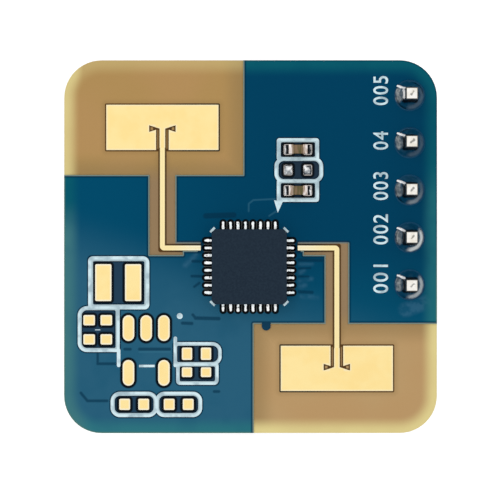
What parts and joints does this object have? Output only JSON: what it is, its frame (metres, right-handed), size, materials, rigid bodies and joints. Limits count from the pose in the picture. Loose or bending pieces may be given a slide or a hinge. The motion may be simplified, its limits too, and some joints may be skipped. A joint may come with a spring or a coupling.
{
  "type": "microwave radar sensor module",
  "caption": "Small square circuit board with transmit and receive patch antennas, a radar chip between them and a pin header on the back.",
  "frame": {"origin": "on the middle pin's axis, where it leaves the face that the header rests on", "axes": "+Z out of the antenna face, +Y along the pin row, +X from the header to the board's nearest edge"},
  "size_m": [0.02, 0.02, 0.0114],
  "materials": {
    "laminate": "tan woven glass and epoxy, slightly translucent at the edges",
    "solder_mask": "deep blue lacquer, semi-gloss",
    "white_print": "matt white ink",
    "copper": "rolled copper under the lacquer",
    "gold_plating": "pale immersion gold, satin",
    "solder": "bright tin solder",
    "tinned_lead": "matt tin",
    "chip_epoxy": "dark moulded epoxy, fine grained",
    "capacitor_ceramic": "brown sintered ceramic",
    "resistor_ceramic": "white alumina",
    "resistor_coat": "black glaze",
    "crystal_ceramic": "dark alumina",
    "crystal_metal": "nickel-plated lid",
    "header_plastic": "black moulded nylon",
    "header_pins": "brass with a bright tin plating"
  },
  "bodies": {
    "root": {"board_laminate": "laminate", "front_ground_pour": "copper", "back_ground_plane": "copper", "front_solder_mask": "solder_mask", "back_solder_mask": "solder_mask", "front_silkscreen": "white_print", "back_silkscreen": "white_print", "transmit_antenna": "gold_plating", "receive_antenna": "gold_plating", "plated_holes": "gold_plating", "tented_via": "copper", "inductor_pads": "gold_plating", "left_capacitor_pads": "gold_plating", "regulator_pads": "gold_plating", "right_capacitor_pads": "gold_plating", "resistor_pads": "gold_plating", "filter_pads": "gold_plating", "spare_pad_solder": "solder", "radar_chip_pads": "gold_plating", "radar_chip_solder": "solder", "radar_chip_leadframe": "tinned_lead", "radar_chip_body": "chip_epoxy", "upper_capacitor_body": "capacitor_ceramic", "upper_capacitor_ends": "tinned_lead", "lower_capacitor_body": "capacitor_ceramic", "lower_capacitor_ends": "tinned_lead", "filter_solder": "solder", "header_housing": "header_plastic", "header_pin_1": "header_pins", "header_pin_2": "header_pins", "header_pin_3": "header_pins", "header_pin_4": "header_pins", "header_pin_5": "header_pins", "solder_joint_1": "solder", "solder_joint_2": "solder", "solder_joint_3": "solder", "solder_joint_4": "solder", "solder_joint_5": "solder", "microcontroller_pads": "gold_plating", "microcontroller_solder": "solder", "microcontroller_leadframe": "tinned_lead", "microcontroller_body": "chip_epoxy", "crystal_pads": "gold_plating", "crystal_solder": "solder", "crystal_base": "crystal_ceramic", "crystal_lid": "crystal_metal", "back_part_pads": "gold_plating", "back_part_solder": "solder", "back_capacitor_bodies": "capacitor_ceramic", "back_capacitor_ends": "tinned_lead", "back_resistor_bodies": "resistor_ceramic", "back_resistor_coats": "resistor_coat", "back_resistor_ends": "tinned_lead", "test_pads": "gold_plating"}
  },
  "joints": []
}
